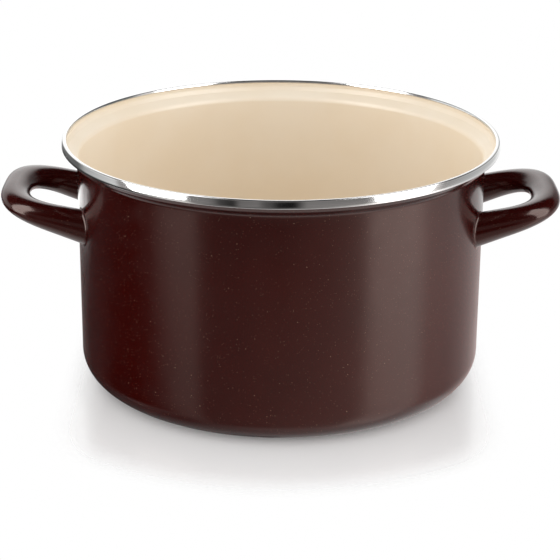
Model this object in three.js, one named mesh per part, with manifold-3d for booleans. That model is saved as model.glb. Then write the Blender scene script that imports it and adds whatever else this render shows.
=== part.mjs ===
// Enamelled steel stock pot with a stainless rim band and two hollow loop handles.
// Millimetres, +Z up. The origin is the centre of the flat standing face, handles along X.

import * as THREE from 'three';
import { mergeVertices } from 'three/addons/utils/BufferGeometryUtils.js';
import Module from 'manifold-3d';

// Body outline, measured on the outside of the enamel
const BODY_RADIUS = 120;
const BASE_CORNER_RADIUS = 16.3;
const WALL_TOP = 135.3;
const LEDGE_RUN = 5.6;
const LEDGE_RISE = 3.8;
const COLLAR_RUN = 1.9;
const COLLAR_RISE = 2.9;
const FLANGE_HEIGHT = 4;
const LEDGE_FOOT_ROUND = 2.5;
const LEDGE_EDGE_ROUND = 3.2;

// Layers of the wall, from the outside in
const ENAMEL_THICKNESS = 0.25;
const STEEL_THICKNESS = 0.8;
const BOND_GAP = 0.05;

// Rim band, a channel rolled over the upright flange
const BAND_THICKNESS = 0.4;
const BAND_CLEARANCE = 0.1;
const BAND_BOW = 0.5;
const BAND_OUTER_LEG = 4.7;
const BAND_INNER_LEG = 1.7;

// Handles: one bent tube each, measured on the outside of the enamel
const HANDLE_HEIGHT = 100;
const HANDLE_TILT = 15.9 * THREE.MathUtils.DEG2RAD;
const ARM_GAP = 51.2;
const ARM_STRAIGHT = 14;
const FINGER_REACH = 35.3;
const ARM_WIDTH = 19.1;
const ARM_DEPTH = 19.2;
const GRIP_WIDTH = 16.3;
const GRIP_DEPTH = 10.8;
const INNER_SQUARENESS = 2.3;
const OUTER_SQUARENESS = 3.1;
const TUBE_WALL = 1;
const SEAT_GAP = 0.3;
const VENT_RADIUS = 1.1;
const VENT_FROM_FOOT = 8;
const VENT_COAT_MARGIN = 0.15;

// Weld fillets round the four arm ends
const WELD_LEG = 1.5;
const WELD_EDGE = 0.3;

// Facets
const ROUND_SEGMENTS = 48;
const CORNER_STEPS = 4;
const ROUND_STEPS = 1;
const BOW_STEPS = 4;
const BEND_STEPS = 7;
const TUBE_SIDES = 12;
const VENT_SIDES = 10;

const wasm = await Module();
wasm.setup();

const steel = new THREE.MeshStandardMaterial({ color: 0x777a7c, roughness: 0.45, metalness: 1 });
const brownEnamel = new THREE.MeshStandardMaterial({ color: 0x3a1815, roughness: 0.12, metalness: 0 });
const creamEnamel = new THREE.MeshStandardMaterial({ color: 0xe6d3b8, roughness: 0.2, metalness: 0 });
const stainless = new THREE.MeshStandardMaterial({ color: 0xd6d6d4, roughness: 0.08, metalness: 1 });

// Closed meshes to solids and back

function toSolid(geometry) {
  const bare = geometry.clone();
  bare.deleteAttribute('normal');
  bare.deleteAttribute('uv');
  const merged = mergeVertices(bare, 1e-4);
  return new wasm.Manifold(new wasm.Mesh({
    numProp: 3,
    vertProperties: new Float32Array(merged.attributes.position.array),
    triVerts: new Uint32Array(merged.index.array),
  }));
}

function toGeometry(solid) {
  const mesh = solid.getMesh();
  const geometry = new THREE.BufferGeometry();
  geometry.setAttribute('position', new THREE.BufferAttribute(new Float32Array(mesh.vertProperties), 3));
  geometry.setIndex(new THREE.BufferAttribute(new Uint32Array(mesh.triVerts), 1));
  return geometry;
}

function subtractAll(geometry, cutters) {
  const solid = cutters.reduce((left, cutter) => left.subtract(toSolid(cutter)), toSolid(geometry));
  return toGeometry(solid);
}

// Turned body profiles: x is the radius, y is the height

function leftNormal(direction) {
  return new THREE.Vector2(-direction.y, direction.x);
}

// Points of one corner of an outline shifted to its left by `offset`; `round` is the unshifted radius
function cornerPoints(before, corner, after, round, offset, steps) {
  const inDirection = corner.clone().sub(before).normalize();
  const outDirection = after.clone().sub(corner).normalize();
  const turn = Math.atan2(inDirection.cross(outDirection), inDirection.dot(outDirection));
  const tangent = round * Math.tan(Math.abs(turn) / 2);
  const side = Math.sign(turn);
  const start = corner.clone().addScaledVector(inDirection, -tangent);
  const centre = start.clone().addScaledVector(leftNormal(inDirection), side * round);
  const radius = round - side * offset;
  const points = [];
  for (let step = 0; step <= steps; step += 1) {
    const spoke = leftNormal(inDirection).multiplyScalar(-side * radius);
    points.push(centre.clone().add(spoke.rotateAround(new THREE.Vector2(), (turn * step) / steps)));
  }
  return points;
}

// Corners of the outside outline, from the axis to the top of the flange
function outlineCorners() {
  const ledgeEnd = new THREE.Vector2(BODY_RADIUS + LEDGE_RUN, WALL_TOP + LEDGE_RISE);
  const collarEnd = ledgeEnd.clone().add(new THREE.Vector2(COLLAR_RUN, COLLAR_RISE));
  return {
    axis: new THREE.Vector2(0, 0),
    base: new THREE.Vector2(BODY_RADIUS, 0),
    wallTop: new THREE.Vector2(BODY_RADIUS, WALL_TOP),
    ledgeEnd,
    collarEnd,
    flangeTop: collarEnd.clone().add(new THREE.Vector2(0, FLANGE_HEIGHT)),
  };
}

const corners = outlineCorners();

// The wall's outline `offset` inside the enamel surface, from the base corner to the flange top
function wallOutline(offset) {
  const { axis, base, wallTop, ledgeEnd, collarEnd, flangeTop } = corners;
  return [
    ...cornerPoints(axis, base, wallTop, BASE_CORNER_RADIUS, offset, CORNER_STEPS),
    ...cornerPoints(base, wallTop, ledgeEnd, LEDGE_FOOT_ROUND, offset, ROUND_STEPS),
    ...cornerPoints(wallTop, ledgeEnd, collarEnd, LEDGE_EDGE_ROUND, offset, ROUND_STEPS),
    ...cornerPoints(ledgeEnd, collarEnd, flangeTop, LEDGE_EDGE_ROUND, offset, ROUND_STEPS),
    new THREE.Vector2(flangeTop.x - offset, flangeTop.y),
  ];
}

function turned(profile) {
  return new THREE.LatheGeometry(profile, ROUND_SEGMENTS).rotateX(Math.PI / 2);
}

// A cup between two offsets, closed across the base
function cup(outerOffset, innerOffset) {
  return turned([
    new THREE.Vector2(0, outerOffset),
    ...wallOutline(outerOffset),
    ...wallOutline(innerOffset).reverse(),
    new THREE.Vector2(0, innerOffset),
  ]);
}

const shellOutside = ENAMEL_THICKNESS + BOND_GAP;
const shellInside = shellOutside + STEEL_THICKNESS;
const liningOutside = shellInside + BOND_GAP;
const liningInside = liningOutside + ENAMEL_THICKNESS;

function wallEnamel() {
  const profile = [...wallOutline(0), ...wallOutline(ENAMEL_THICKNESS).reverse()];
  return turned([...profile, profile[0].clone()]);
}

function baseEnamel() {
  const edge = BODY_RADIUS - BASE_CORNER_RADIUS - BOND_GAP;
  return turned([
    new THREE.Vector2(0, 0),
    new THREE.Vector2(edge, 0),
    new THREE.Vector2(edge, ENAMEL_THICKNESS),
    new THREE.Vector2(0, ENAMEL_THICKNESS),
  ]);
}

// Channel section: up the bowed outer face, over the top and back round the inside of the channel
function rimBand() {
  const channelOutside = corners.flangeTop.x + BAND_CLEARANCE;
  const channelInside = corners.flangeTop.x - liningInside - BAND_CLEARANCE;
  const channelTop = corners.flangeTop.y + BAND_CLEARANCE;
  const top = channelTop + BAND_THICKNESS;
  const outerFoot = top - BAND_OUTER_LEG;
  const innerFoot = top - BAND_INNER_LEG;
  const crownRound = BAND_THICKNESS / 2;

  const bowed = (radius, upper) => {
    const points = [];
    for (let step = 0; step <= BOW_STEPS; step += 1) {
      const share = step / BOW_STEPS;
      const bow = BAND_BOW * Math.sin(Math.PI * share);
      points.push(new THREE.Vector2(radius + bow, THREE.MathUtils.lerp(outerFoot, upper, share)));
    }
    return points;
  };

  const profile = [
    ...bowed(channelOutside + BAND_THICKNESS, top - crownRound),
    new THREE.Vector2(channelOutside + crownRound, top),
    new THREE.Vector2(channelInside - crownRound, top),
    new THREE.Vector2(channelInside - BAND_THICKNESS, top - crownRound),
    new THREE.Vector2(channelInside - BAND_THICKNESS, innerFoot),
    new THREE.Vector2(channelInside, innerFoot),
    new THREE.Vector2(channelInside, channelTop),
    ...bowed(channelOutside, channelTop).reverse(),
  ];
  return turned([...profile, profile[0].clone()]);
}

// Handle plan: s runs out from the arm feet in the tilted plane, v along Y.
// Two straight arms run into a round end between two superelliptic curves about one centre.

const innerSpread = ARM_GAP / 2;
const outerSpread = innerSpread + ARM_WIDTH;
const outerReach = FINGER_REACH + GRIP_WIDTH;
const footSpread = innerSpread + ARM_WIDTH / 2;
const gripMiddle = FINGER_REACH + GRIP_WIDTH / 2;
const footX = Math.sqrt(BODY_RADIUS ** 2 - footSpread ** 2);
const armInset = ARM_WIDTH + ARM_DEPTH;

function placeOnHandle(s, v, w) {
  return new THREE.Vector3(
    footX + s * Math.cos(HANDLE_TILT) - w * Math.sin(HANDLE_TILT),
    v,
    HANDLE_HEIGHT + s * Math.sin(HANDLE_TILT) + w * Math.cos(HANDLE_TILT),
  );
}

// Oval section `offset` outside the enamel surface, on a line that leaves (start, 0) at `turn` from +v to +s
// and crosses the tube from `inner` to `outer`
function sectionRing(start, turn, inner, outer, offset) {
  const middle = (inner + outer) / 2;
  const share = (start + middle * Math.sin(turn)) / gripMiddle;
  const halfWidth = (outer - inner) / 2 + offset;
  const halfDepth = THREE.MathUtils.lerp(ARM_DEPTH, GRIP_DEPTH, share) / 2 + offset;
  const ring = [];
  for (let side = 0; side < TUBE_SIDES; side += 1) {
    const angle = (2 * Math.PI * side) / TUBE_SIDES;
    const across = middle + halfWidth * Math.cos(angle);
    ring.push(placeOnHandle(
      start + across * Math.sin(turn),
      across * Math.cos(turn),
      halfDepth * Math.sin(angle),
    ));
  }
  return ring;
}

// Station on the straight arm at v > 0
function armRing(s, offset) {
  return sectionRing(s, 0, innerSpread, outerSpread, offset);
}

// Distance from the end's centre to one of its curves
function endRadius(spread, reach, squareness, turn) {
  const across = Math.cos(turn) / spread;
  const along = Math.sin(turn) / (reach - ARM_STRAIGHT);
  return (across ** squareness + along ** squareness) ** (-1 / squareness);
}

// Station on the round end, from the arm at v > 0 to the middle of the grip
function endRing(turn, offset) {
  const inner = endRadius(innerSpread, FINGER_REACH, INNER_SQUARENESS, turn);
  const outer = endRadius(outerSpread, outerReach, OUTER_SQUARENESS, turn);
  return sectionRing(ARM_STRAIGHT, turn, inner, outer, offset);
}

// The arm's end cut to a cylinder of `radius` round the pot's axis
function footRing(radius, offset) {
  const inner = armRing(-armInset, offset);
  const outer = armRing(ARM_STRAIGHT, offset);
  return inner.map((start, side) => {
    const step = outer[side].clone().sub(start);
    const a = step.x ** 2 + step.y ** 2;
    const b = start.x * step.x + start.y * step.y;
    const c = start.x ** 2 + start.y ** 2 - radius ** 2;
    return start.clone().addScaledVector(step, (-b + Math.sqrt(b ** 2 - a * c)) / a);
  });
}

// The same rings on the other arm; the order of the rings is reversed, so that faces still point out
function mirrorRings(rings) {
  return rings.map((ring) => ring.map((point) => new THREE.Vector3(point.x, -point.y, point.z))).reverse();
}

// All the rings of the loop, foot to foot, at one offset
function loopRings(footRadius, offset) {
  const half = [footRing(footRadius, offset)];
  for (let step = 0; step <= BEND_STEPS; step += 1) {
    half.push(endRing((Math.PI / 2) * (step / BEND_STEPS), offset));
  }
  return [...half, ...mirrorRings(half.slice(0, -1))];
}

// Joins each ring to the next; the last joins the first, or both ends are capped.
// Each quad is split along its shorter diagonal, so that nested surfaces stay parallel.
function loft(rings, capped) {
  const sides = rings[0].length;
  const points = rings.flat();
  const indices = [];
  const spans = capped ? rings.length - 1 : rings.length;
  for (let span = 0; span < spans; span += 1) {
    const here = span * sides;
    const next = ((span + 1) % rings.length) * sides;
    for (let side = 0; side < sides; side += 1) {
      const after = (side + 1) % sides;
      const [a, b, c, d] = [here + side, here + after, next + after, next + side];
      const splitAtA = points[a].distanceTo(points[c]) < points[b].distanceTo(points[d]);
      indices.push(...(splitAtA ? [a, b, c, a, c, d] : [b, c, d, b, d, a]));
    }
  }
  if (capped) {
    const last = (rings.length - 1) * sides;
    for (let side = 1; side < sides - 1; side += 1) {
      indices.push(0, side + 1, side);
      indices.push(last, last + side, last + side + 1);
    }
  }
  const geometry = new THREE.BufferGeometry();
  geometry.setFromPoints(points);
  geometry.setIndex(indices);
  return geometry;
}

// A hollow loop between two offsets, open at both feet
function hollowLoop(footRadius, outerOffset, innerOffset) {
  return loft([...loopRings(footRadius, outerOffset), ...loopRings(footRadius, innerOffset).reverse()], false);
}

// Vent drilled through the inner face of each arm, from the bore into the finger gap
function ventCutters(radius) {
  const length = ARM_WIDTH;
  return [-1, 1].map((arm) => {
    const centre = placeOnHandle(VENT_FROM_FOOT, arm * (footSpread - length / 2), 0);
    return new THREE.CylinderGeometry(radius, radius, length, VENT_SIDES).translate(...centre.toArray());
  });
}

const tubeOutside = -(ENAMEL_THICKNESS + BOND_GAP);
const tubeFootRadius = BODY_RADIUS - shellOutside + SEAT_GAP;
const coatFootRadius = BODY_RADIUS + SEAT_GAP;

function handleTube() {
  const tube = hollowLoop(tubeFootRadius, tubeOutside, tubeOutside - TUBE_WALL);
  return subtractAll(tube, ventCutters(VENT_RADIUS));
}

function handleEnamel() {
  const coat = hollowLoop(coatFootRadius, 0, -ENAMEL_THICKNESS);
  return subtractAll(coat, ventCutters(VENT_RADIUS + VENT_COAT_MARGIN));
}

// Sloping collar between the arm at v > 0 and the wall
function weldRings() {
  const weldTop = coatFootRadius + WELD_LEG;
  const inside = SEAT_GAP;
  const outside = inside + WELD_LEG;
  const waist = inside + WELD_EDGE;
  return [
    footRing(coatFootRadius, outside),
    footRing(coatFootRadius + WELD_EDGE, outside),
    footRing((coatFootRadius + weldTop) / 2, (waist + outside) / 2 - WELD_EDGE),
    footRing(weldTop, waist),
    footRing(weldTop, inside),
    footRing(coatFootRadius, inside),
  ];
}

// Solid plugs in the shape of the arms, which leave their openings in the wall's enamel
function armPlugs() {
  const rings = [armRing(-armInset, tubeOutside + SEAT_GAP), armRing(ARM_STRAIGHT, tubeOutside + SEAT_GAP)];
  const right = [loft(rings, true), loft(mirrorRings(rings), true)];
  const left = right.map((plug) => plug.clone().rotateZ(Math.PI));
  return [...right, ...left];
}

function piece(name, geometry, material) {
  const mesh = new THREE.Mesh(geometry, material);
  mesh.name = name;
  return mesh;
}

function buildBody() {
  const body = new THREE.Group();
  body.add(piece('pot_shell', cup(shellOutside, shellInside), steel));
  body.add(piece('wall_enamel', subtractAll(wallEnamel(), armPlugs()), brownEnamel));
  body.add(piece('base_enamel', baseEnamel(), brownEnamel));
  body.add(piece('inner_enamel', cup(liningOutside, liningInside), creamEnamel));
  body.add(piece('rim_band', rimBand(), stainless));
  return body;
}

// One handle as it stands at +X; the front arm is the one at v < 0 there
function buildHandle(side, armAtPositiveV, armAtNegativeV) {
  const handle = new THREE.Group();
  handle.add(piece(`${side}_handle_tube`, handleTube(), steel));
  handle.add(piece(`${side}_handle_enamel`, handleEnamel(), brownEnamel));
  handle.add(piece(`${side}_${armAtPositiveV}_weld`, loft(weldRings(), false), brownEnamel));
  handle.add(piece(`${side}_${armAtNegativeV}_weld`, loft(mirrorRings(weldRings()), false), brownEnamel));
  return handle;
}

const pot = new THREE.Group();
pot.add(buildBody());
pot.add(buildHandle('right', 'rear', 'front'));
const leftHandle = buildHandle('left', 'front', 'rear');
leftHandle.rotation.z = Math.PI;
pot.add(leftHandle);

export default pot;
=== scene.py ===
# Enamelled stock pot: smooth pieces, fired finishes, studio light and camera.
# Metres, +Z up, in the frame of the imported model: handles along X, standing face at Z = 0.

import math

import bpy
from mathutils import Matrix, Vector


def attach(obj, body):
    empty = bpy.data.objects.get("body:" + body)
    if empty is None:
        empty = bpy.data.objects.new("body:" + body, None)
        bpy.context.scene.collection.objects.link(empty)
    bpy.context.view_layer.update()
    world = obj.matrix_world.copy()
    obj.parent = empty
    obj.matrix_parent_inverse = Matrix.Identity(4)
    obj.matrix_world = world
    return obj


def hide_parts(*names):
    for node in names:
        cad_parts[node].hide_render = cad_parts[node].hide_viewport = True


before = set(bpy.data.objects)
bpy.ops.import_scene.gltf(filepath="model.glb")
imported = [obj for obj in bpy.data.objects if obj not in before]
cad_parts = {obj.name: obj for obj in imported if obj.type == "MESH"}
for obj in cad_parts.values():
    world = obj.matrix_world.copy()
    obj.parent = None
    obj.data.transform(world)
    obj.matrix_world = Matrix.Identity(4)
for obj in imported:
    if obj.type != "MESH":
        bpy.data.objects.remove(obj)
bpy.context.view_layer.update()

MM = 0.001
DEG = math.pi / 180

# Body outline, measured on the outside of the enamel
BODY_RADIUS = 120 * MM
BASE_CORNER_RADIUS = 16.3 * MM
WALL_TOP = 135.3 * MM
LEDGE_RUN = 5.6 * MM
LEDGE_RISE = 3.8 * MM
COLLAR_RUN = 1.9 * MM
COLLAR_RISE = 2.9 * MM
FLANGE_HEIGHT = 4 * MM
LEDGE_FOOT_ROUND = 2.5 * MM
LEDGE_EDGE_ROUND = 3.2 * MM

# Layers of the wall, from the outside in
ENAMEL_THICKNESS = 0.25 * MM
STEEL_THICKNESS = 0.8 * MM
BOND_GAP = 0.05 * MM
SHELL_OUTSIDE = ENAMEL_THICKNESS + BOND_GAP
SHELL_INSIDE = SHELL_OUTSIDE + STEEL_THICKNESS
LINING_OUTSIDE = SHELL_INSIDE + BOND_GAP
LINING_INSIDE = LINING_OUTSIDE + ENAMEL_THICKNESS

# Rim band, a channel rolled over the upright flange
BAND_THICKNESS = 0.4 * MM
BAND_CLEARANCE = 0.1 * MM
BAND_BOW = 0.5 * MM
BAND_OUTER_LEG = 4.7 * MM
BAND_INNER_LEG = 1.7 * MM
BAND_EDGE_ROUND = 0.15 * MM
BAND_LOWER_ROUND = 0.35 * MM
BAND_CROWN_RISE = 0.3 * MM
BAND_INNER_LEAN = 0.3 * MM

# Handles: one bent tube each, measured on the outside of the enamel
HANDLE_HEIGHT = 100 * MM
HANDLE_TILT = 15.9 * DEG
ARM_GAP = 51.2 * MM
ARM_STRAIGHT = 14 * MM
FINGER_REACH = 35.3 * MM
ARM_WIDTH = 19.1 * MM
ARM_DEPTH = 19.2 * MM
GRIP_WIDTH = 16.3 * MM
GRIP_DEPTH = 10.8 * MM
INNER_SQUARENESS = 2.3
OUTER_SQUARENESS = 3.1
TUBE_WALL = 1 * MM
VENT_RADIUS = 1.1 * MM
VENT_COAT_MARGIN = 0.15 * MM
VENT_FROM_FOOT = 8 * MM

# Weld fillets round the four arm ends
WELD_LEG = 1.2 * MM
WELD_SINK = 0.15 * MM

# Fineness of the meshes
ROUND_SEGMENTS = 256
ARC_STEPS = 14
STRAIGHT_STEP = 5 * MM
TUBE_SIDES = 64
ARM_STEPS = 8
BEND_STEPS = 40
FILLET_STEPS = 8
VENT_SIDES = 32
SHARP_ANGLE = 40 * DEG


# Node helpers

def add_node(tree, kind, **settings):
    node = tree.nodes.new(kind)
    for name, value in settings.items():
        setattr(node, name, value)
    return node


def feed(tree, socket, value):
    """Links an output to a socket, or sets the socket's own value."""
    if isinstance(value, bpy.types.NodeSocket):
        tree.links.new(value, socket)
    else:
        socket.default_value = value


def calculate(tree, operation, *inputs):
    node = add_node(tree, "ShaderNodeMath", operation=operation)
    for socket, value in zip(node.inputs, inputs):
        feed(tree, socket, value)
    return node.outputs[0]


def spread(tree, value, from_low, from_high, to_low=0.0, to_high=1.0, smooth=True):
    """Maps a range of values to another range, clamped."""
    node = add_node(tree, "ShaderNodeMapRange")
    node.interpolation_type = "SMOOTHSTEP" if smooth else "LINEAR"
    for name, entry in zip(node.inputs.keys(), (value, from_low, from_high, to_low, to_high)):
        feed(tree, node.inputs[name], entry)
    return node.outputs[0]


def blend_colours(tree, factor, first, second):
    node = add_node(tree, "ShaderNodeMix", data_type="RGBA")
    for name, value in (("Factor_Float", factor), ("A_Color", first), ("B_Color", second)):
        socket = next(entry for entry in node.inputs if entry.identifier == name)
        feed(tree, socket, value)
    return next(entry for entry in node.outputs if entry.identifier == "Result_Color")


def noise(tree, place, scale, detail, roughness=0.5):
    node = add_node(tree, "ShaderNodeTexNoise")
    feed(tree, node.inputs["Vector"], place)
    node.inputs["Scale"].default_value = scale
    node.inputs["Detail"].default_value = detail
    node.inputs["Roughness"].default_value = roughness
    return node.outputs["Fac"]


def new_material(name):
    """A material with its shader, and the place on the object for its patterns."""
    material = bpy.data.materials.new(name)
    material.use_nodes = True
    tree = material.node_tree
    shader = tree.nodes["Principled BSDF"]
    place = add_node(tree, "ShaderNodeTexCoord").outputs["Object"]
    return material, tree, shader, place


def bump(tree, height, distance):
    node = add_node(tree, "ShaderNodeBump")
    feed(tree, node.inputs["Height"], height)
    node.inputs["Distance"].default_value = distance
    return node.outputs["Normal"]


# Finishes: a scale counts a pattern's patches to the metre, and a range picks the middle of its values

CLOUD_DETAIL = 3
CLOUD_RANGE = (0.3, 0.7)
HAZE_DETAIL = 4
HAZE_RANGE = (0.25, 0.75)
RIPPLE_DETAIL = 1
RIPPLE_HEIGHT = 0.02 * MM
ENAMEL_IOR = 1.52


def enamel(name, shades, roughness, cloud_scale, haze_scale, ripple_scale):
    """A fired coat with an uneven gloss and a faint ripple, and the colour of its clouded shades."""
    material, tree, shader, place = new_material(name)
    clouds = noise(tree, place, cloud_scale, CLOUD_DETAIL)
    ground = blend_colours(tree, spread(tree, clouds, *CLOUD_RANGE), *shades)
    haze = noise(tree, place, haze_scale, HAZE_DETAIL)
    feed(tree, shader.inputs["Roughness"], spread(tree, haze, *HAZE_RANGE, *roughness))
    ripple = noise(tree, place, ripple_scale, RIPPLE_DETAIL)
    feed(tree, shader.inputs["Normal"], bump(tree, ripple, RIPPLE_HEIGHT))
    shader.inputs["IOR"].default_value = ENAMEL_IOR
    return material, tree, shader, place, ground


BROWN_SHADES = ((0.028, 0.0012, 0.0008, 1), (0.035, 0.0019, 0.0011, 1))
BROWN_ROUGHNESS = (0.14, 0.2)
BROWN_CLOUDS = 18
BROWN_HAZE = 90
BROWN_RIPPLE = 130
BROWN_GLOSS = (1, 0.82, 0.75, 1)

SPECK_COLOUR = (0.42, 0.3, 0.2, 1)
SPECK_CORE = 0.4
SPECK_DIMMEST = 0.25
# Cells to the metre, radius as a share of a cell, and the share of the cells that hold a speck
COARSE_SPECKS = (430, 0.11, 0.2)
FINE_SPECKS = (850, 0.17, 0.45)
FINE_STRENGTH = 0.5


def specks(tree, place, scale, radius, kept_share):
    """Scattered flecks: a mask that is full inside a share of the cells' centres, fading at the edge."""
    cells = add_node(tree, "ShaderNodeTexVoronoi")
    feed(tree, cells.inputs["Vector"], place)
    cells.inputs["Scale"].default_value = scale
    chance = add_node(tree, "ShaderNodeSeparateColor")
    feed(tree, chance.inputs["Color"], cells.outputs["Color"])
    inside = spread(tree, cells.outputs["Distance"], radius, SPECK_CORE * radius)
    kept = calculate(tree, "LESS_THAN", chance.outputs["Red"], kept_share)
    brightness = spread(tree, chance.outputs["Green"], 0, 1, SPECK_DIMMEST, 1, smooth=False)
    return calculate(tree, "MULTIPLY", calculate(tree, "MULTIPLY", inside, kept), brightness)


def brown_enamel():
    material, tree, shader, place, ground = enamel(
        "brown_enamel_finish", BROWN_SHADES, BROWN_ROUGHNESS, BROWN_CLOUDS, BROWN_HAZE, BROWN_RIPPLE,
    )
    coarse = specks(tree, place, *COARSE_SPECKS)
    fine = specks(tree, place, *FINE_SPECKS)
    flecks = calculate(tree, "MAXIMUM", coarse, calculate(tree, "MULTIPLY", fine, FINE_STRENGTH))
    feed(tree, shader.inputs["Base Color"], blend_colours(tree, flecks, ground, SPECK_COLOUR))
    shader.inputs["Specular Tint"].default_value = BROWN_GLOSS
    return material


CREAM_SHADES = ((0.87, 0.767, 0.622, 1), (0.85, 0.736, 0.578, 1))
CREAM_ROUGHNESS = (0.36, 0.44)
CREAM_CLOUDS = 22
CREAM_HAZE = 80
CREAM_RIPPLE = 120


def cream_enamel():
    material, tree, shader, _, ground = enamel(
        "cream_enamel_finish", CREAM_SHADES, CREAM_ROUGHNESS, CREAM_CLOUDS, CREAM_HAZE, CREAM_RIPPLE,
    )
    feed(tree, shader.inputs["Base Color"], ground)
    return material


STAINLESS_LIGHT = (0.8, 0.8, 0.79, 1)
STAINLESS_DARK = (0.66, 0.67, 0.67, 1)
STAINLESS_ROUGHNESS = (0.07, 0.12)
SMUDGES = 60
TURNED_LINES = 4000
LINE_DETAIL = 3
LINE_RANGE = (0.35, 0.65)
LINE_HEIGHT = 0.004 * MM


def ring_place(tree, place):
    """Radius and height round the pot's axis, so that a pattern runs in rings."""
    parts = add_node(tree, "ShaderNodeSeparateXYZ")
    feed(tree, parts.inputs[0], place)
    squares = [calculate(tree, "POWER", parts.outputs[axis], 2) for axis in ("X", "Y")]
    radius = calculate(tree, "SQRT", calculate(tree, "ADD", *squares))
    rings = add_node(tree, "ShaderNodeCombineXYZ")
    feed(tree, rings.inputs["X"], radius)
    feed(tree, rings.inputs["Z"], parts.outputs["Z"])
    return rings.outputs[0]


def stainless():
    material, tree, shader, place = new_material("stainless_finish")
    lines = noise(tree, ring_place(tree, place), TURNED_LINES, LINE_DETAIL)
    tone = blend_colours(tree, spread(tree, lines, *LINE_RANGE), STAINLESS_DARK, STAINLESS_LIGHT)
    feed(tree, shader.inputs["Base Color"], tone)
    smudges = noise(tree, place, SMUDGES, CLOUD_DETAIL)
    feed(tree, shader.inputs["Roughness"], spread(tree, smudges, *CLOUD_RANGE, *STAINLESS_ROUGHNESS))
    feed(tree, shader.inputs["Normal"], bump(tree, lines, LINE_HEIGHT))
    shader.inputs["Metallic"].default_value = 1
    return material


STEEL_DARK = (0.12, 0.12, 0.125, 1)
STEEL_LIGHT = (0.25, 0.25, 0.26, 1)
STEEL_ROUGHNESS = (0.45, 0.65)
MILL_SCALE = 300
MILL_DETAIL = 5
MILL_HARSHNESS = 0.7


def raw_steel():
    material, tree, shader, place = new_material("raw_steel_finish")
    scale = noise(tree, place, MILL_SCALE, MILL_DETAIL, MILL_HARSHNESS)
    tone = blend_colours(tree, scale, STEEL_DARK, STEEL_LIGHT)
    feed(tree, shader.inputs["Base Color"], tone)
    feed(tree, shader.inputs["Roughness"], spread(tree, scale, *CLOUD_RANGE, *STEEL_ROUGHNESS))
    shader.inputs["Metallic"].default_value = 1
    return material


# Meshes

def add_piece(name, points, faces, node, finish):
    """A smooth mesh that takes the place of a node of the frame, whose part it hides, with the finish it is
    given.
    """
    mesh = bpy.data.meshes.new(name)
    mesh.from_pydata(points, [], faces)
    mesh.shade_smooth()
    mesh.set_sharp_from_angle(angle=SHARP_ANGLE)
    mesh.materials.append(finish)
    piece = bpy.data.objects.new(name, mesh)
    bpy.context.scene.collection.objects.link(piece)
    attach(piece, "root")
    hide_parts(node)
    return piece


def turn_profile(profile):
    """Points and faces of a closed profile turned round Z; ends on the axis become single points."""
    points = []
    rings = []
    for radius, height in profile:
        if radius == 0:
            rings.append([len(points)] * ROUND_SEGMENTS)
            points.append((0, 0, height))
            continue
        rings.append(range(len(points), len(points) + ROUND_SEGMENTS))
        for segment in range(ROUND_SEGMENTS):
            angle = 2 * math.pi * segment / ROUND_SEGMENTS
            points.append((radius * math.cos(angle), radius * math.sin(angle), height))
    on_axis = profile[0][0] == 0
    spans = len(rings) - 1 if on_axis else len(rings)
    faces = []
    for span in range(spans):
        lower = rings[span]
        upper = rings[(span + 1) % len(rings)]
        for segment in range(ROUND_SEGMENTS):
            after = (segment + 1) % ROUND_SEGMENTS
            corners = (lower[segment], lower[after], upper[after], upper[segment])
            faces.append(tuple(dict.fromkeys(corners)))
    return points, faces


def loft(rings):
    """Points and faces of closed rings joined in a closed loop."""
    points = [point for ring in rings for point in ring]
    sides = len(rings[0])
    faces = []
    for span in range(len(rings)):
        here = span * sides
        there = (span + 1) % len(rings) * sides
        for side in range(sides):
            after = (side + 1) % sides
            faces.append((here + side, here + after, there + after, there + side))
    return points, faces


# Body

def left_normal(direction):
    return Vector((-direction.y, direction.x))


def corner_arc(before, corner, after, round_radius, offset):
    """Arc at a corner of an outline shifted to its left; round_radius is the unshifted radius."""
    into = (corner - before).normalized()
    out = (after - corner).normalized()
    turn = math.atan2(into.cross(out), into.dot(out))
    side = math.copysign(1, turn)
    start = corner - into * round_radius * math.tan(abs(turn) / 2)
    centre = start + left_normal(into) * side * round_radius
    spoke = left_normal(into) * (offset - side * round_radius)
    turns = [turn * step / ARC_STEPS for step in range(ARC_STEPS + 1)]
    return [centre + Matrix.Rotation(angle, 2) @ spoke for angle in turns]


def with_straights(outline):
    """The same outline with extra points on its long straight stretches."""
    dense = [outline[0]]
    for point in outline[1:]:
        start = dense[-1]
        steps = max(1, round((point - start).length / STRAIGHT_STEP))
        dense += [start.lerp(point, step / steps) for step in range(1, steps + 1)]
    return dense


AXIS_FOOT = Vector((0, 0))
BASE_CORNER = Vector((BODY_RADIUS, 0))
WALL_CORNER = Vector((BODY_RADIUS, WALL_TOP))
LEDGE_CORNER = WALL_CORNER + Vector((LEDGE_RUN, LEDGE_RISE))
COLLAR_CORNER = LEDGE_CORNER + Vector((COLLAR_RUN, COLLAR_RISE))
FLANGE_TOP = COLLAR_CORNER + Vector((0, FLANGE_HEIGHT))


def wall_outline(offset):
    """The wall `offset` inside the enamel surface, from the base corner to the flange top."""
    return with_straights(
        corner_arc(AXIS_FOOT, BASE_CORNER, WALL_CORNER, BASE_CORNER_RADIUS, offset)
        + corner_arc(BASE_CORNER, WALL_CORNER, LEDGE_CORNER, LEDGE_FOOT_ROUND, offset)
        + corner_arc(WALL_CORNER, LEDGE_CORNER, COLLAR_CORNER, LEDGE_EDGE_ROUND, offset)
        + corner_arc(LEDGE_CORNER, COLLAR_CORNER, FLANGE_TOP, LEDGE_EDGE_ROUND, offset)
        + [FLANGE_TOP - Vector((offset, 0))]
    )


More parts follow.
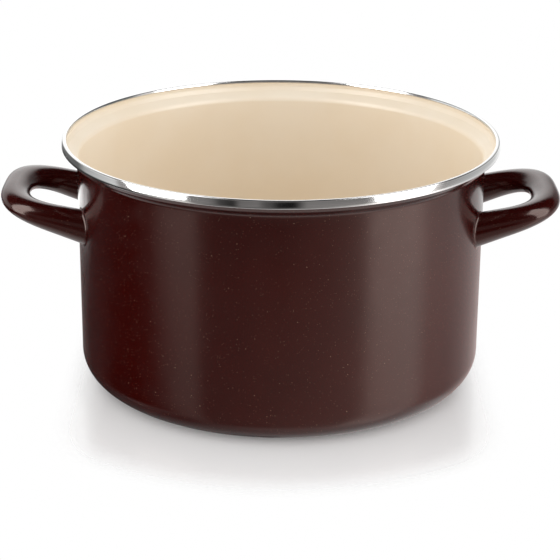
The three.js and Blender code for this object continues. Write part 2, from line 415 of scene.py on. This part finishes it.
def cup(outer_offset, inner_offset):
    """A cup between two offsets, closed across the base."""
    outside = with_straights([Vector((0, outer_offset))] + wall_outline(outer_offset))
    inside = with_straights([Vector((0, inner_offset))] + wall_outline(inner_offset))
    return turn_profile(outside + inside[::-1])


def wall_coat():
    return turn_profile(wall_outline(0) + wall_outline(ENAMEL_THICKNESS)[::-1])


def base_coat():
    edge = BODY_RADIUS - BASE_CORNER_RADIUS
    under = with_straights([Vector((0, 0)), Vector((edge, 0))])
    over = with_straights([Vector((edge, ENAMEL_THICKNESS)), Vector((0, ENAMEL_THICKNESS))])
    return turn_profile(under + over)


def leaning(radius, lean, lower, upper):
    """A face that is upright and `lean` further out at its foot, and leans in to `radius` at its top."""
    face = []
    for step in range(ARC_STEPS + 1):
        share = step / ARC_STEPS
        across = radius + lean * math.cos(math.pi / 2 * share)
        face.append(Vector((across, lower + (upper - lower) * share)))
    return face


def crown_arc(inside, outside, foot):
    """The band's top as a flat half ellipse from the outside to the inside, without its ends."""
    radius = (outside - inside) / 2
    crown = []
    for step in range(1, ARC_STEPS):
        angle = math.pi * step / ARC_STEPS
        across = inside + radius * (1 + math.cos(angle))
        crown.append(Vector((across, foot + BAND_CROWN_RISE * math.sin(angle))))
    return crown


def lower_arc(outside, foot):
    """The round under the band's outer face, from the underside up, without its upper end."""
    edge = []
    for step in range(ARC_STEPS):
        angle = math.pi / 2 * step / ARC_STEPS
        across = outside - BAND_LOWER_ROUND * (1 - math.sin(angle))
        edge.append(Vector((across, foot + BAND_LOWER_ROUND * (1 - math.cos(angle)))))
    return edge


def rim_channel():
    """Channel section: up the leaning outer face, over the crown and back round the inside."""
    channel_outside = FLANGE_TOP.x + BAND_CLEARANCE
    channel_inside = FLANGE_TOP.x - LINING_INSIDE - BAND_CLEARANCE
    channel_top = FLANGE_TOP.y + BAND_CLEARANCE
    outside = channel_outside + BAND_THICKNESS
    inside = channel_inside - BAND_THICKNESS
    top = channel_top + BAND_THICKNESS
    outer_foot = top - BAND_OUTER_LEG
    inner_foot = top - BAND_INNER_LEG
    crown_inside = inside + BAND_INNER_LEAN
    crown_foot = top - BAND_CROWN_RISE
    lower_edge = lower_arc(outside + BAND_BOW, outer_foot)
    outer_face = leaning(outside, BAND_BOW, outer_foot + BAND_LOWER_ROUND, crown_foot)
    crown = crown_arc(crown_inside, outside, crown_foot)
    inner_leg = leaning(crown_inside, -BAND_INNER_LEAN, inner_foot + BAND_EDGE_ROUND, crown_foot)
    inner_foot_edge = [
        Vector((inside + BAND_EDGE_ROUND, inner_foot)),
        Vector((channel_inside, inner_foot)),
        Vector((channel_inside, channel_top)),
    ]
    channel_face = leaning(channel_outside, BAND_BOW, outer_foot, channel_top)
    return turn_profile(
        lower_edge + outer_face + crown + inner_leg[::-1] + inner_foot_edge + channel_face[::-1]
    )


# Handles. Plan: s runs out from the arm feet in the tilted plane, v along Y.
# Two straight arms run into a round end between two superelliptic curves about one centre.

INNER_SPREAD = ARM_GAP / 2
OUTER_SPREAD = INNER_SPREAD + ARM_WIDTH
OUTER_REACH = FINGER_REACH + GRIP_WIDTH
FOOT_SPREAD = INNER_SPREAD + ARM_WIDTH / 2
GRIP_MIDDLE = FINGER_REACH + GRIP_WIDTH / 2
FOOT_X = math.sqrt(BODY_RADIUS ** 2 - FOOT_SPREAD ** 2)
ARM_INSET = ARM_WIDTH + ARM_DEPTH
TUBE_OUTSIDE = -(ENAMEL_THICKNESS + BOND_GAP)


def place_on_handle(s, v, w):
    return Vector((
        FOOT_X + s * math.cos(HANDLE_TILT) - w * math.sin(HANDLE_TILT),
        v,
        HANDLE_HEIGHT + s * math.sin(HANDLE_TILT) + w * math.cos(HANDLE_TILT),
    ))


def section_ring(start, turn, inner, outer, offset):
    """Oval section on a line that leaves (start, 0) at `turn` from +v to +s, from `inner` to `outer`."""
    middle = (inner + outer) / 2
    share = (start + middle * math.sin(turn)) / GRIP_MIDDLE
    half_width = (outer - inner) / 2 + offset
    half_depth = (ARM_DEPTH + (GRIP_DEPTH - ARM_DEPTH) * share) / 2 + offset
    ring = []
    for side in range(TUBE_SIDES):
        angle = 2 * math.pi * side / TUBE_SIDES
        across = middle + half_width * math.cos(angle)
        ring.append(place_on_handle(
            start + across * math.sin(turn),
            across * math.cos(turn),
            half_depth * math.sin(angle),
        ))
    return ring


def arm_ring(s, offset):
    """Section of the straight arm at v > 0."""
    return section_ring(s, 0, INNER_SPREAD, OUTER_SPREAD, offset)


def end_radius(spread_across, reach, squareness, turn):
    """Distance from the round end's centre to one of its curves."""
    across = math.cos(turn) / spread_across
    along = math.sin(turn) / (reach - ARM_STRAIGHT)
    return (across ** squareness + along ** squareness) ** (-1 / squareness)


def end_ring(turn, offset):
    """Section of the round end, from the arm at v > 0 to the middle of the grip."""
    inner = end_radius(INNER_SPREAD, FINGER_REACH, INNER_SQUARENESS, turn)
    outer = end_radius(OUTER_SPREAD, OUTER_REACH, OUTER_SQUARENESS, turn)
    return section_ring(ARM_STRAIGHT, turn, inner, outer, offset)


def foot_ring(radius, offset):
    """The arm's end cut to a cylinder of `radius` round the pot's axis."""
    ring = []
    for start, end in zip(arm_ring(-ARM_INSET, offset), arm_ring(ARM_STRAIGHT, offset)):
        step = end - start
        squared = step.xy.length_squared
        along = start.xy.dot(step.xy)
        beyond = start.xy.length_squared - radius ** 2
        ring.append(start + step * (-along + math.sqrt(along ** 2 - squared * beyond)) / squared)
    return ring


def mirror_rings(rings):
    """The same rings on the other arm, in reverse order, so that faces still point out."""
    return [[Vector((point.x, -point.y, point.z)) for point in ring] for ring in reversed(rings)]


def between(first, second, steps):
    """Rings strictly between two rings."""
    shares = [step / steps for step in range(1, steps)]
    return [[start.lerp(end, share) for start, end in zip(first, second)] for share in shares]


def loop_rings(foot_radius, offset):
    """All the rings of the loop, foot to foot."""
    foot = foot_ring(foot_radius, offset)
    end = [end_ring(math.pi / 2 * step / BEND_STEPS, offset) for step in range(BEND_STEPS + 1)]
    half = [foot] + between(foot, end[0], ARM_STEPS) + end
    return half + mirror_rings(half[:-1])


def hollow_loop(foot_radius, outer_offset, inner_offset):
    return loft(loop_rings(foot_radius, outer_offset) + loop_rings(foot_radius, inner_offset)[::-1])


def fillet_rings():
    """Cove between the arm at v > 0 and the wall, sunk a little into both."""
    rings = []
    for step in range(FILLET_STEPS + 1):
        angle = math.pi / 2 * step / FILLET_STEPS
        radius = BODY_RADIUS + WELD_LEG * (1 - math.cos(angle))
        rings.append(foot_ring(radius, WELD_LEG * (1 - math.sin(angle))))
    rings.append(foot_ring(BODY_RADIUS + WELD_LEG, -WELD_SINK))
    rings.append(foot_ring(BODY_RADIUS - WELD_SINK, -WELD_SINK))
    rings.append(foot_ring(BODY_RADIUS - WELD_SINK, WELD_LEG))
    return rings


def turn_half(points):
    """Points of the right handle turned to the left side."""
    return [Vector((-point.x, -point.y, point.z)) for point in points]


def drill_vents(piece, radius, turned):
    """Cuts the vent in the inner face of each arm."""
    for arm in (-1, 1):
        centre = place_on_handle(VENT_FROM_FOOT, arm * INNER_SPREAD, 0)
        if turned:
            centre = turn_half([centre])[0]
        bpy.ops.mesh.primitive_cylinder_add(
            vertices=VENT_SIDES, radius=radius, depth=ARM_WIDTH,
            location=centre, rotation=(math.pi / 2, 0, 0),
        )
        drill = bpy.context.object
        cut = piece.modifiers.new("vent", "BOOLEAN")
        cut.object = drill
        cut.operation = "DIFFERENCE"
        cut.solver = "EXACT"
        bpy.context.view_layer.objects.active = piece
        bpy.ops.object.modifier_apply(modifier=cut.name)
        bpy.data.objects.remove(drill)


def build_body(finishes):
    body = (
        ("shell_core", cup(SHELL_OUTSIDE, SHELL_INSIDE), "pot_shell", "steel_core"),
        ("wall_coat", wall_coat(), "wall_enamel", "brown_enamel"),
        ("base_coat", base_coat(), "base_enamel", "brown_enamel"),
        ("lining_coat", cup(LINING_OUTSIDE, LINING_INSIDE), "inner_enamel", "cream_enamel"),
        ("rim_channel", rim_channel(), "rim_band", "stainless_band"),
    )
    for name, (points, faces), node, slot in body:
        add_piece(name, points, faces, node, finishes[slot])


def build_handle(side, turned, arms, finishes):
    """One handle with its welds; `arms` names the arm at v > 0 and then the arm at v < 0."""
    tube = hollow_loop(BODY_RADIUS, TUBE_OUTSIDE, TUBE_OUTSIDE - TUBE_WALL)
    coat = hollow_loop(BODY_RADIUS - WELD_SINK, 0, -ENAMEL_THICKNESS)
    rings = fillet_rings()
    parts = [
        (f"{side}_handle_core", tube, f"{side}_handle_tube", "steel_core"),
        (f"{side}_handle_coat", coat, f"{side}_handle_enamel", "brown_enamel"),
    ]
    for arm, fillet in zip(arms, (rings, mirror_rings(rings))):
        parts.append((f"{side}_{arm}_fillet", loft(fillet), f"{side}_{arm}_weld", "brown_enamel"))
    drilled = {f"{side}_handle_core": VENT_RADIUS, f"{side}_handle_coat": VENT_RADIUS + VENT_COAT_MARGIN}
    for name, (points, faces), node, slot in parts:
        placed = turn_half(points) if turned else points
        piece = add_piece(name, placed, faces, node, finishes[slot])
        if name in drilled:
            drill_vents(piece, drilled[name], turned)


# Studio

WHITE = (1, 1, 1, 1)
BLACK = (0, 0, 0, 1)
DISC_SIDES = 128

FLOOR_RADIUS = 420 * MM
FLOOR_GAP = 0.2 * MM
FLOOR_FADE = (148 * MM, 183 * MM)
FLOOR_SIDE_FADE = (98 * MM, 132 * MM)
FLOOR_COLOUR = (0.865, 0.85, 0.845, 1)
FLOOR_ROUGHNESS = 0.2
FLOOR_LIFT = 0.13


def disc_place(tree, place):
    """Distance from the middle of a disc, and the place on it along X."""
    length = add_node(tree, "ShaderNodeVectorMath", operation="LENGTH")
    feed(tree, length.inputs[0], place)
    parts = add_node(tree, "ShaderNodeSeparateXYZ")
    feed(tree, parts.inputs[0], place)
    return length.outputs["Value"], parts.outputs["X"]


def add_disc(name, radius, shift, finish):
    """A flat disc just under the standing face, shifted along X."""
    bpy.ops.mesh.primitive_circle_add(
        vertices=DISC_SIDES, radius=radius, fill_type="NGON", location=(shift, 0, -FLOOR_GAP),
    )
    disc = bpy.context.object
    disc.name = name
    disc.data.materials.append(finish)
    return disc


def floor_finish():
    """Pale floor that fades into the white background and is clear from below."""
    material, tree, shader, place = new_material("floor_finish")
    shader.inputs["Base Color"].default_value = FLOOR_COLOUR
    shader.inputs["Roughness"].default_value = FLOOR_ROUGHNESS
    distance, across = disc_place(tree, place)
    sideways = calculate(tree, "ABSOLUTE", across)
    near_in_front = spread(tree, distance, FLOOR_FADE[1], FLOOR_FADE[0])
    near_at_side = spread(tree, sideways, FLOOR_SIDE_FADE[1], FLOOR_SIDE_FADE[0])
    seen = calculate(tree, "MULTIPLY", near_in_front, near_at_side)
    from_below = add_node(tree, "ShaderNodeNewGeometry").outputs["Backfacing"]
    feed(tree, shader.inputs["Alpha"], spread(tree, from_below, 0, 1, seen, 0, smooth=False))
    path = add_node(tree, "ShaderNodeLightPath")
    lift = spread(tree, path.outputs["Is Camera Ray"], 0, 1, 0, FLOOR_LIFT, smooth=False)
    shader.inputs["Emission Color"].default_value = WHITE
    feed(tree, shader.inputs["Emission Strength"], lift)
    return material


def build_floor():
    floor = add_disc("floor", FLOOR_RADIUS, 0, floor_finish())
    floor.visible_glossy = False


# Brightness of the surroundings seen in gloss: degrees from the camera's side to the right, and level
UPPER_LEFT = (
    (-180, 1.6), (-165, 1.3), (-150, 0.9), (-120, 0.95), (-95, 0.95), (-88, 0.3), (-46, 0.2),
)
UPPER_RIGHT = (
    (44, 0.2), (52, 0.8), (84, 0.8), (92, 0.25), (110, 0.15), (160, 0.3), (172, 1.2), (180, 1.6),
)
FRONT_PATCHES = (
    (-37, 0.2), (-34, 0.17), (-30, 0.05), (-23, 0.02), (-20, 0.17), (-11, 0.19), (-8, 0.1), (-4, 0.07),
    (-1, 0.01), (7, 0.01), (10, 0.1), (13, 0.22),
)
SCREENS_TOP = UPPER_LEFT + UPPER_RIGHT
SCREENS_UPPER = UPPER_LEFT + FRONT_PATCHES + UPPER_RIGHT
SCREENS_HIGH = (
    (-180, 1.1), (-164, 0.6), (-152, 0.2), (-126, 0.14), (-118, 0.5), (-92, 0.75), (-88, 0.3), (-50, 0.3),
    (-46, 0.2), *FRONT_PATCHES, (44, 0.24), (52, 0.8), (84, 0.8), (90, 0.35), (108, 0.5), (140, 0.7),
    (160, 1), (180, 1.1),
)
LEFT_BAND = (
    (-88, 0), (-78, 0.08), (-70, 0.42), (-62, 0.78), (-50, 0.95), (-44, 0.28), (-36, 0.16),
)
RIGHT_BAND = (
    (40, 0.62), (47, 1), (53, 2.2), (60, 2.5), (80, 2.3), (92, 1.2), (106, 0.85),
)
STRIP_FRONT = (
    (-134, 0.05), (-99, 0.02), *LEFT_BAND, (0, 0.1), (26, 0.3), *RIGHT_BAND, (124, 0.75), (140, 0.9),
    (160, 1), (180, 1),
)
SCREENS_EDGE = ((-180, 1), (-168, 0.4), (-158, 0.1)) + STRIP_FRONT
SCREENS_STRIP = ((-180, 2.6), (-140, 2.2)) + STRIP_FRONT
SCREENS_MIDDLE = (
    (-180, 0.5), (-157, 0.08), (-140, 0.03), (-118, 0.05), (-104, 0), *LEFT_BAND, (-20, 0.16), (-11, 0.22),
    (0, 0.16), (12, 0.26), (26, 0.36), *RIGHT_BAND, (124, 0.66), (140, 0.6), (180, 0.5),
)
SCREENS_LOW = (
    (-180, 0.2), (-157, 0.12), (-140, 0.04), (-128, 0.06), (-110, 0), (-84, 0), (-76, 0.03), (-68, 0.18),
    (-60, 0.42), (-49, 0.6), (-43, 0.22), (-30, 0.28), (-15, 0.33), (0, 0.43), (12, 0.48), (26, 0.57),
    (40, 0.66), (46, 0.8), (53, 1.5), (62, 1.6), (80, 1.5), (92, 0.75), (111, 0.5), (125, 0.52), (142, 0.6),
    (180, 0.7),
)
SCREENS_DEEP = (
    (-180, 0.2), (-170, 0.5), (-160, 1), (-140, 0.85), (-104, 0.7), (-90, 0.3), (-68, 0.3), (-60, 0.46),
    (-52, 0.45), (-44, 0.22), (-30, 0.27), (-15, 0.3), (0, 0.4), (12, 0.45), (26, 0.55), (40, 0.66),
    (46, 0.8), (53, 1.5), (80, 1.5), (92, 0.9), (111, 0.9), (142, 1), (180, 0.7),
)
SIDES_WARM = (1.22, 1, 0.97)
SIDES_NEUTRAL = (1, 1, 1)
FRONT_TINT = (1.06, 1, 0.98)
SIDE_START = 90
# Layers over the deepest one: stops, tint of the sides, and the rises where each sets in and is full
SCREEN_LAYERS = (
    (SCREENS_LOW, SIDES_WARM, -0.66, -0.57),
    (SCREENS_MIDDLE, SIDES_WARM, -0.41, -0.33),
    (SCREENS_STRIP, SIDES_NEUTRAL, -0.326, -0.31),
    (SCREENS_EDGE, SIDES_NEUTRAL, -0.3, -0.292),
    (SCREENS_HIGH, SIDES_NEUTRAL, -0.26, -0.2),
    (SCREENS_UPPER, SIDES_NEUTRAL, -0.1, 0.1),
    (SCREENS_TOP, SIDES_NEUTRAL, 0.05, 0.13),
)
FLOOR_GLOW = (1.05, 1.05, 1.05, 1)
FLOOR_GLOW_RISE = (-0.8, -0.95)
CEILING_GLOW = (0.005, 0.005, 0.005, 1)
CEILING_RISE = (0.45, 0.55)

# Soft fill that lights matt surfaces
FILL_FLOOR = (0.5, 0.5, 0.5, 1)
FILL_FLOOR_RISE = (-0.1, 0.05)
FILL_FRONT = (0.92, 0.92, 0.92, 1)
FILL_SIDES = (2.45, 2.45, 2.45, 1)
FILL_TOP = (0.92, 0.92, 0.92, 1)
FILL_TOP_RISE = (0.35, 0.65)


def screen_ramp(tree, turn, stops, side_tint):
    """Levels round the pot, from stops of degrees and brightness, with a tint of their own past the sides."""
    node = add_node(tree, "ShaderNodeValToRGB")
    ramp = node.color_ramp
    ramp.elements.remove(ramp.elements[0])
    for number, (degrees, level) in enumerate(stops):
        position = (degrees + 180) / 360
        stop = ramp.elements[0] if number == 0 else ramp.elements.new(position)
        stop.position = position
        tint = side_tint if abs(degrees) > SIDE_START else FRONT_TINT
        stop.color = tuple(level * share for share in tint) + (1,)
    feed(tree, node.inputs["Fac"], turn)
    return node.outputs["Color"]


def build_world():
    """White for the camera, soft fill for matt surfaces, light and dark screens for gloss."""
    world = bpy.data.worlds.new("studio")
    bpy.context.scene.world = world
    world.use_nodes = True
    tree = world.node_tree
    tree.nodes.clear()
    parts = add_node(tree, "ShaderNodeSeparateXYZ")
    feed(tree, parts.inputs[0], add_node(tree, "ShaderNodeTexCoord").outputs["Generated"])
    forward = calculate(tree, "MULTIPLY", parts.outputs["Y"], -1)
    angle = calculate(tree, "ARCTAN2", parts.outputs["X"], forward)
    turn = spread(tree, angle, -math.pi, math.pi, smooth=False)
    rise = parts.outputs["Z"]

    screens = screen_ramp(tree, turn, SCREENS_DEEP, SIDES_NEUTRAL)
    for stops, side_tint, start, end in SCREEN_LAYERS:
        layer = screen_ramp(tree, turn, stops, side_tint)
        screens = blend_colours(tree, spread(tree, rise, start, end), screens, layer)
    screens = blend_colours(tree, spread(tree, rise, *FLOOR_GLOW_RISE), screens, FLOOR_GLOW)
    screens = blend_colours(tree, spread(tree, rise, *CEILING_RISE), screens, CEILING_GLOW)

    path = add_node(tree, "ShaderNodeLightPath")
    sideways = calculate(tree, "POWER", parts.outputs["X"], 2)
    fill = blend_colours(tree, sideways, FILL_FRONT, FILL_SIDES)
    fill = blend_colours(tree, spread(tree, rise, *FILL_FLOOR_RISE), FILL_FLOOR, fill)
    fill = blend_colours(tree, spread(tree, rise, *FILL_TOP_RISE), fill, FILL_TOP)
    lit = blend_colours(tree, path.outputs["Is Glossy Ray"], fill, screens)
    seen = blend_colours(tree, path.outputs["Is Camera Ray"], lit, WHITE)
    background = add_node(tree, "ShaderNodeBackground")
    feed(tree, background.inputs["Color"], seen)
    output = add_node(tree, "ShaderNodeOutputWorld")
    tree.links.new(background.outputs[0], output.inputs["Surface"])
    world.cycles.sampling_method = "NONE"


# Shaded floor close round the base, which shows only in gloss
SHADE_SHIFT = -6 * MM
SHADE_FADE = (118 * MM, 131 * MM)
SHADE_SIDES = (-89 * MM, 66 * MM)
SHADE_STRENGTHS = (0.95, 0.25)
SHADE_COLOUR = (0.05, 0.03, 0.03, 1)
SHADE_ROUGHNESS = 0.8


def gloss_only(stand):
    for name in ("camera", "diffuse", "transmission", "shadow"):
        setattr(stand, f"visible_{name}", False)


def shade_finish():
    """Dark floor that weakens from the left to the right and fades out round the base."""
    material, tree, shader, place = new_material("shade_finish")
    shader.inputs["Base Color"].default_value = SHADE_COLOUR
    shader.inputs["Roughness"].default_value = SHADE_ROUGHNESS
    distance, across = disc_place(tree, place)
    near = spread(tree, distance, SHADE_FADE[1], SHADE_FADE[0])
    strength = spread(tree, across, *SHADE_SIDES, *SHADE_STRENGTHS, smooth=False)
    feed(tree, shader.inputs["Alpha"], calculate(tree, "MULTIPLY", near, strength))
    return material


def build_shade():
    gloss_only(add_disc("shade", SHADE_FADE[1], SHADE_SHIFT, shade_finish()))


# Softboxes: slanted panels at both sides that show only in gloss; corners of the right one
BOX_CORNERS = tuple(MM * Vector(corner) for corner in (
    (950, -916, -50), (950, -260, -50), (205, 100, 700), (205, -275, 700),
))
RIGHT_BOX_LEVEL = 4.3
LEFT_BOX_LEVEL = 5.5


def build_softbox(name, side, level):
    material, _, shader, _ = new_material(f"{name}_finish")
    shader.inputs["Base Color"].default_value = BLACK
    shader.inputs["Emission Color"].default_value = WHITE
    shader.inputs["Emission Strength"].default_value = level
    mesh = bpy.data.meshes.new(name)
    mesh.from_pydata([Vector((side * x, y, z)) for x, y, z in BOX_CORNERS], [], [(0, 1, 2, 3)])
    mesh.materials.append(material)
    panel = bpy.data.objects.new(name, mesh)
    bpy.context.scene.collection.objects.link(panel)
    gloss_only(panel)


# Camera, fitted to the photograph's framing
CAMERA_PLACE = Vector((0, -1036.6 * MM, 443.1 * MM))
CAMERA_AIM = Vector((0, 0, 54.4 * MM))
CAMERA_ROLL = 0.42 * DEG
CAMERA_LENS = 117.39
CAMERA_SENSOR = 36


def build_camera():
    data = bpy.data.cameras.new("camera")
    data.sensor_width = CAMERA_SENSOR
    data.lens = CAMERA_LENS
    camera = bpy.data.objects.new("camera", data)
    facing = (CAMERA_AIM - CAMERA_PLACE).to_track_quat("-Z", "Y").to_matrix().to_4x4()
    camera.matrix_world = Matrix.Translation(CAMERA_PLACE) @ facing @ Matrix.Rotation(CAMERA_ROLL, 4, "Z")
    bpy.context.scene.collection.objects.link(camera)
    bpy.context.scene.camera = camera


finishes = {
    "steel_core": raw_steel(),
    "brown_enamel": brown_enamel(),
    "cream_enamel": cream_enamel(),
    "stainless_band": stainless(),
}
build_body(finishes)
build_handle("right", False, ("rear", "front"), finishes)
build_handle("left", True, ("front", "rear"), finishes)
build_floor()
build_shade()
build_world()
build_softbox("right_softbox", 1, RIGHT_BOX_LEVEL)
build_softbox("left_softbox", -1, LEFT_BOX_LEVEL)
build_camera()
bpy.context.scene.view_settings.view_transform = "Standard"
